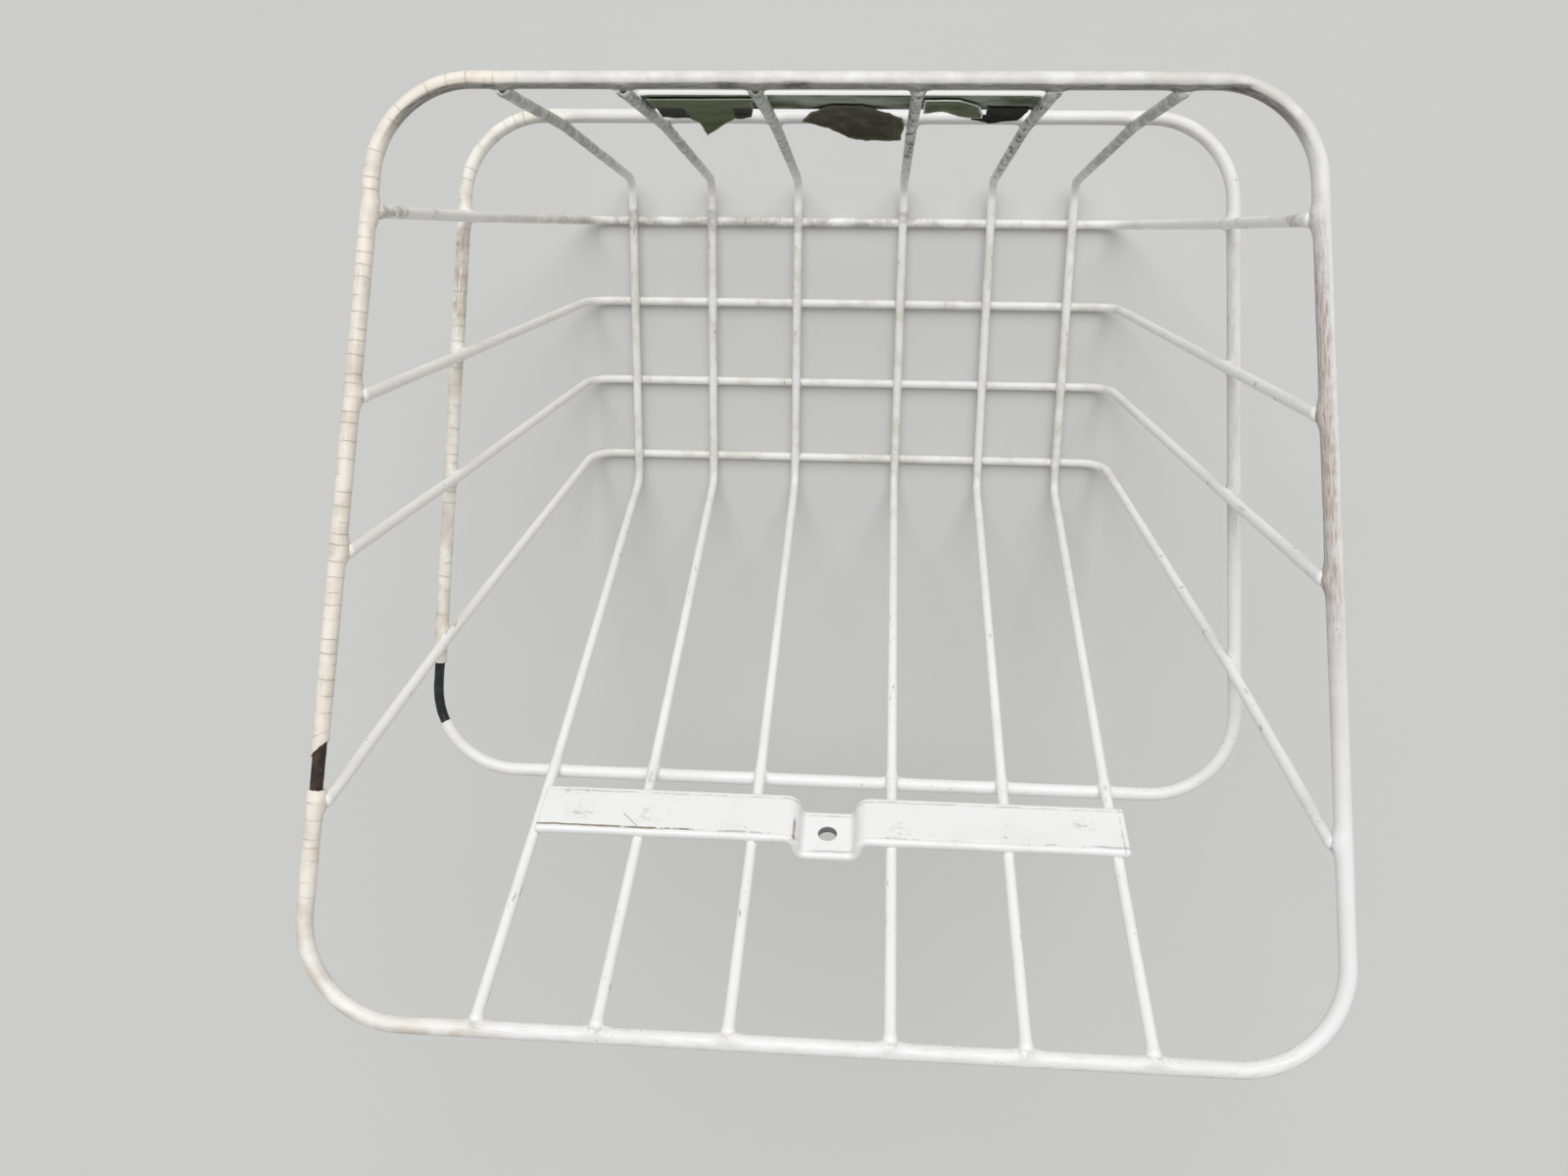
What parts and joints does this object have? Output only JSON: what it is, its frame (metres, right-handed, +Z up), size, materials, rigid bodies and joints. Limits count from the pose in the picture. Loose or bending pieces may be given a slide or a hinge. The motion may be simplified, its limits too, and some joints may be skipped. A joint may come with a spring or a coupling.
{
  "type": "scooter front basket",
  "caption": "Open-top welded wire basket with a white dip-coated skin, a raked rear wall, a middle ring, and a stepped rear strap with a bolt hole for the front of a scooter.",
  "frame": {"origin": "centre of the bounding box, on the surface that the floor wires stand on", "axes": "+Z up with the floor level, +Y away from the rider towards the upright front wall, X across the basket"},
  "size_m": [0.321, 0.2858, 0.2953],
  "materials": {
    "white_coating": "satin dip coating",
    "rusty_steel": "rusted where the coating broke off",
    "dark_steel": "dark bare wire",
    "torn_film": "weathered torn film"
  },
  "bodies": {
    "root": {"rim": "white_coating", "rim_bare_core": "rusty_steel", "mid_ring": "white_coating", "mid_ring_bare_core": "dark_steel", "long_wire_1": "white_coating", "long_wire_2": "white_coating", "long_wire_3": "white_coating", "long_wire_4": "white_coating", "long_wire_5": "white_coating", "long_wire_6": "white_coating", "cross_wire_1": "white_coating", "cross_wire_2": "white_coating", "cross_wire_3": "white_coating", "cross_wire_4": "white_coating", "rear_strap": "white_coating", "front_plate": "white_coating", "film_remnant_left": "torn_film", "film_remnant_centre": "torn_film", "film_remnant_right": "torn_film", "film_remnant_far_right": "torn_film"}
  },
  "joints": []
}
